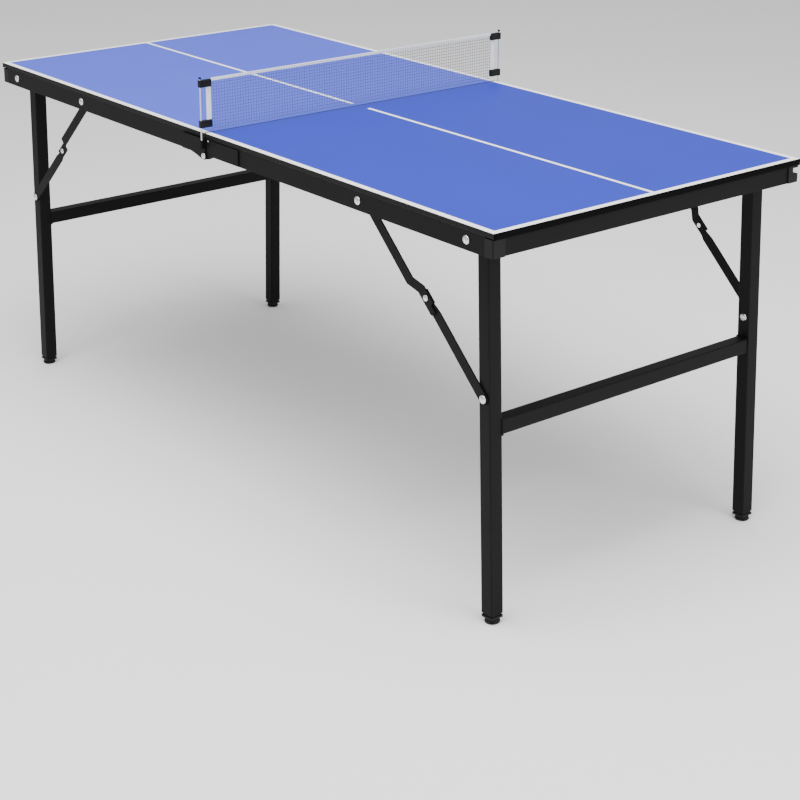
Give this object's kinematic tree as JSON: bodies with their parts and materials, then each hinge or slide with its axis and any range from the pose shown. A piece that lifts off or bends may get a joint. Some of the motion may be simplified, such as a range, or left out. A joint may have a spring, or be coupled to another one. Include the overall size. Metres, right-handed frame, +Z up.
{
  "type": "folding_table_tennis_table",
  "caption": "Compact folding table tennis table with a blue top, black steel frame, square folding legs with hinged braces, levelling feet and a clip-on net on posts.",
  "frame": {"origin": "centre of the table on the floor, under the middle joint", "axes": "+Z up, +X along the table's length towards the right half, +Y across the table to its back long side"},
  "size_m": [1.5306, 0.6974, 0.759],
  "materials": {
    "blue_board": "satin roller-coated playing surface with white lines",
    "black_steel": "satin black powder coat",
    "black_plastic": "moulded, fine texture",
    "bright_steel": "zinc plated",
    "net_cord": "knotless woven cord",
    "net_tape": "woven tape"
  },
  "bodies": {
    "left_half": {"board_left": "blue_board", "side_frame_left": "black_steel", "end_rail_left": "black_steel", "corner_cap_left_front": "black_plastic", "leg_pivot_left_front": "bright_steel", "brace_pivot_left_front": "bright_steel", "hinge_leaf_left_front": "black_steel", "corner_cap_left_back": "black_plastic", "leg_pivot_left_back": "bright_steel", "brace_pivot_left_back": "bright_steel", "hinge_leaf_left_back": "black_steel", "hinge_pin_front": "bright_steel", "hinge_pin_back": "bright_steel"},
    "right_half": {"board_right": "blue_board", "side_frame_right": "black_steel", "end_rail_right": "black_steel", "corner_cap_right_front": "black_plastic", "leg_pivot_right_front": "bright_steel", "brace_pivot_right_front": "bright_steel", "hinge_leaf_right_front": "black_steel", "corner_cap_right_back": "black_plastic", "leg_pivot_right_back": "bright_steel", "brace_pivot_right_back": "bright_steel", "hinge_leaf_right_back": "black_steel"},
    "net": {"net_mesh": "net_cord", "net_top_tape": "net_tape", "net_band_front": "net_tape", "net_clip_lower_front": "black_plastic", "net_clip_upper_front": "black_plastic", "net_post_front": "bright_steel", "net_band_back": "net_tape", "net_clip_lower_back": "black_plastic", "net_clip_upper_back": "black_plastic", "net_post_back": "bright_steel"},
    "left_legs": {"leg_frame_left": "black_steel", "foot_plug_left_front": "black_plastic", "foot_plug_left_back": "black_plastic"},
    "brace_upper_left_front": {"brace_upper_left_front": "black_steel", "elbow_rivet_left_front": "bright_steel"},
    "brace_lower_left_front": {"brace_lower_left_front": "black_steel", "leg_rivet_left_front": "bright_steel"},
    "foot_left_front": {"levelling_foot_left_front": "black_plastic"},
    "brace_upper_left_back": {"brace_upper_left_back": "black_steel", "elbow_rivet_left_back": "bright_steel"},
    "brace_lower_left_back": {"brace_lower_left_back": "black_steel", "leg_rivet_left_back": "bright_steel"},
    "foot_left_back": {"levelling_foot_left_back": "black_plastic"},
    "right_legs": {"leg_frame_right": "black_steel", "foot_plug_right_front": "black_plastic", "foot_plug_right_back": "black_plastic"},
    "brace_upper_right_front": {"brace_upper_right_front": "black_steel", "elbow_rivet_right_front": "bright_steel"},
    "brace_lower_right_front": {"brace_lower_right_front": "black_steel", "leg_rivet_right_front": "bright_steel"},
    "foot_right_front": {"levelling_foot_right_front": "black_plastic"},
    "brace_upper_right_back": {"brace_upper_right_back": "black_steel", "elbow_rivet_right_back": "bright_steel"},
    "brace_lower_right_back": {"brace_lower_right_back": "black_steel", "leg_rivet_right_back": "bright_steel"},
    "foot_right_back": {"levelling_foot_right_back": "black_plastic"}
  },
  "joints": [
    {"name": "centre_fold", "type": "hinge", "parent": "left_half", "child": "right_half", "pos_m": [0, 0, 0.6175], "axis": [0, 1, 0], "range_deg": [0, 90]},
    {"name": "net_lift", "type": "slide", "parent": "left_half", "child": "net", "axis": [0, 0, 1], "range_m": [0, 0.12]},
    {"name": "left_legs_fold", "type": "hinge", "parent": "left_half", "child": "left_legs", "pos_m": [-0.7016, 0, 0.6343], "axis": [0, -1, 0], "range_deg": [0, 91.9]},
    {"name": "brace_top_left_front", "type": "hinge", "parent": "left_half", "child": "brace_upper_left_front", "pos_m": [-0.4384, -0.32195, 0.6343], "axis": [0, 1, 0], "range_deg": [0, 43.48]},
    {"name": "brace_elbow_left_front", "type": "hinge", "parent": "brace_upper_left_front", "child": "brace_lower_left_front", "pos_m": [-0.57622, -0.30755, 0.50361], "axis": [0, -1, 0], "range_deg": [0, 180]},
    {"name": "foot_left_front_level", "type": "slide", "parent": "left_legs", "child": "foot_left_front", "axis": [0, 0, -1], "range_m": [0, 0.01]},
    {"name": "brace_top_left_back", "type": "hinge", "parent": "left_half", "child": "brace_upper_left_back", "pos_m": [-0.4384, 0.32195, 0.6343], "axis": [0, 1, 0], "range_deg": [0, 43.48]},
    {"name": "brace_elbow_left_back", "type": "hinge", "parent": "brace_upper_left_back", "child": "brace_lower_left_back", "pos_m": [-0.57622, 0.30755, 0.50361], "axis": [0, -1, 0], "range_deg": [0, 180]},
    {"name": "foot_left_back_level", "type": "slide", "parent": "left_legs", "child": "foot_left_back", "axis": [0, 0, -1], "range_m": [0, 0.01]},
    {"name": "right_legs_fold", "type": "hinge", "parent": "right_half", "child": "right_legs", "pos_m": [0.7016, 0, 0.6343], "axis": [0, 1, 0], "range_deg": [0, 91.9]},
    {"name": "brace_top_right_front", "type": "hinge", "parent": "right_half", "child": "brace_upper_right_front", "pos_m": [0.4384, -0.32195, 0.6343], "axis": [0, -1, 0], "range_deg": [0, 43.48]},
    {"name": "brace_elbow_right_front", "type": "hinge", "parent": "brace_upper_right_front", "child": "brace_lower_right_front", "pos_m": [0.57622, -0.30755, 0.50361], "axis": [0, 1, 0], "range_deg": [0, 180]},
    {"name": "foot_right_front_level", "type": "slide", "parent": "right_legs", "child": "foot_right_front", "axis": [0, 0, -1], "range_m": [0, 0.01]},
    {"name": "brace_top_right_back", "type": "hinge", "parent": "right_half", "child": "brace_upper_right_back", "pos_m": [0.4384, 0.32195, 0.6343], "axis": [0, -1, 0], "range_deg": [0, 43.48]},
    {"name": "brace_elbow_right_back", "type": "hinge", "parent": "brace_upper_right_back", "child": "brace_lower_right_back", "pos_m": [0.57622, 0.30755, 0.50361], "axis": [0, 1, 0], "range_deg": [0, 180]},
    {"name": "foot_right_back_level", "type": "slide", "parent": "right_legs", "child": "foot_right_back", "axis": [0, 0, -1], "range_m": [0, 0.01]}
  ],
  "couplings": [
    {"joint": "brace_top_left_front", "follows": "left_legs_fold", "ratio": 0.47307},
    {"joint": "brace_elbow_left_front", "follows": "left_legs_fold", "ratio": 1.9585},
    {"joint": "brace_top_left_back", "follows": "left_legs_fold", "ratio": 0.47307},
    {"joint": "brace_elbow_left_back", "follows": "left_legs_fold", "ratio": 1.9585},
    {"joint": "brace_top_right_front", "follows": "right_legs_fold", "ratio": 0.47307},
    {"joint": "brace_elbow_right_front", "follows": "right_legs_fold", "ratio": 1.9585},
    {"joint": "brace_top_right_back", "follows": "right_legs_fold", "ratio": 0.47307},
    {"joint": "brace_elbow_right_back", "follows": "right_legs_fold", "ratio": 1.9585}
  ]
}
